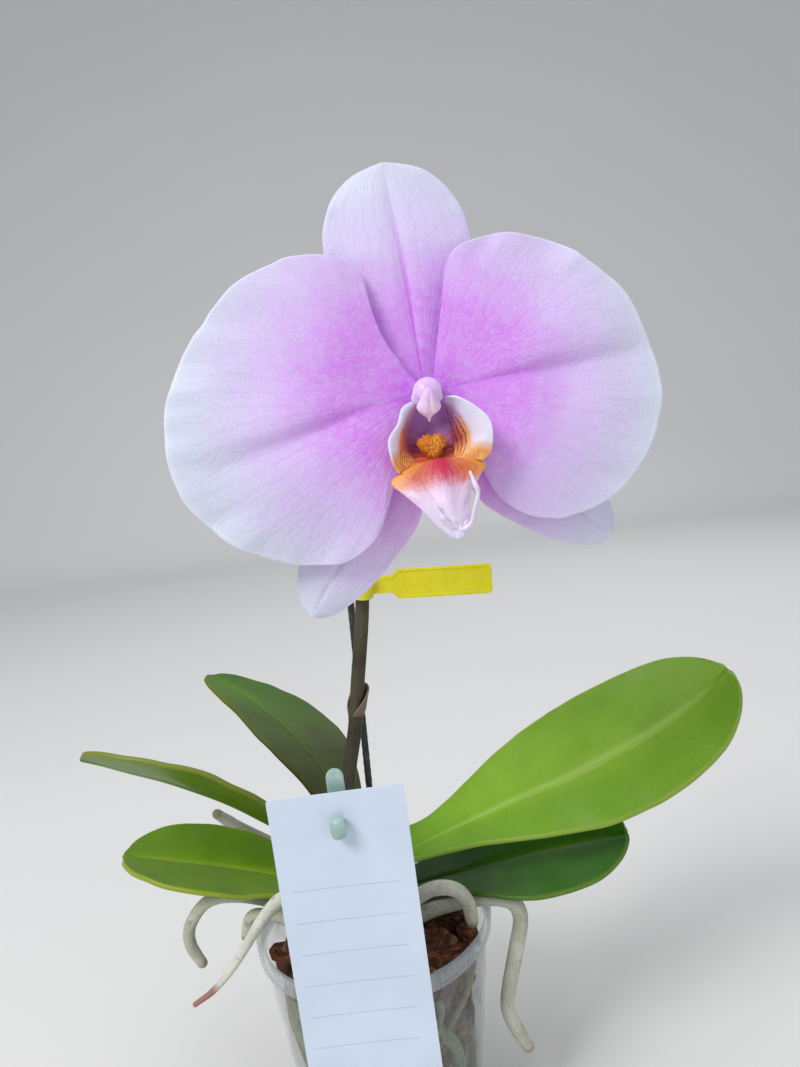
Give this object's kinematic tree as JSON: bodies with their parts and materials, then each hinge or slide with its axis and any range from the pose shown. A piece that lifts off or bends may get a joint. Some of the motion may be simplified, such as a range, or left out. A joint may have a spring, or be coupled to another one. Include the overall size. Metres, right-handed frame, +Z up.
{
  "type": "potted orchid",
  "caption": "Moth orchid with one large lilac flower on an arching stem, broad leaves and aerial roots, in a clear nursery pot with labels.",
  "frame": {"origin": "the middle of the pot's flat underside", "axes": "+Z up along the pot's axis; the flower faces -Y and the large leaf points to +X"},
  "size_m": [0.2511, 0.1915, 0.3317],
  "materials": {
    "clear_plastic": "clear moulded plastic, slightly cloudy",
    "bark": "rough damp pine bark",
    "leaf_green": "waxy leaf, soft sheen",
    "crown_green": "waxy stem",
    "root_silver": "silvery spongy root skin",
    "spike_brown": "smooth olive-brown stem",
    "bract_pink": "dry papery bract",
    "petal_pink": "satin petal, pale lilac with a deeper heart",
    "column_pink": "waxy flower column",
    "cap_white": "waxy anther cap",
    "lip_cream": "waxy lip, white with orange and red markings",
    "stake_black": "dark plant stake",
    "tag_yellow": "bright yellow plastic label",
    "card_white": "smooth white card",
    "holder_mint": "pale mint plastic"
  },
  "bodies": {
    "root": {"nursery_pot": "clear_plastic", "bark_fill": "bark", "bark_chip_01": "bark", "bark_chip_02": "bark", "bark_chip_03": "bark", "bark_chip_04": "bark", "bark_chip_05": "bark", "bark_chip_06": "bark", "bark_chip_07": "bark", "bark_chip_08": "bark", "bark_chip_09": "bark", "bark_chip_10": "bark", "bark_chip_11": "bark", "bark_chip_12": "bark", "wall_root_1": "root_silver", "wall_root_2": "root_silver", "wall_root_3": "root_silver", "wall_root_4": "root_silver", "wall_root_5": "root_silver", "wall_root_6": "root_silver", "crown_stem": "crown_green", "leaf_upper_right": "leaf_green", "leaf_lower_right": "leaf_green", "leaf_lower_left": "leaf_green", "leaf_middle_left": "leaf_green", "leaf_upper_left": "leaf_green", "flower_spike": "spike_brown", "spike_bract_lower": "bract_pink", "spike_bract_upper": "bract_pink", "pedicel": "spike_brown", "aerial_root_raised": "root_silver", "aerial_root_left": "root_silver", "aerial_root_short": "root_silver", "aerial_root_front": "root_silver", "aerial_root_over_bark": "root_silver", "aerial_root_right": "root_silver", "aerial_root_back": "root_silver", "petal_left": "petal_pink", "petal_right": "petal_pink", "dorsal_sepal": "petal_pink", "lateral_sepal_left": "petal_pink", "lateral_sepal_right": "petal_pink", "column": "column_pink", "anther_cap": "cap_white", "lip": "lip_cream", "support_stake": "stake_black", "tag_holder": "holder_mint", "hang_tag": "card_white", "loop_tag": "tag_yellow"}
  },
  "joints": []
}
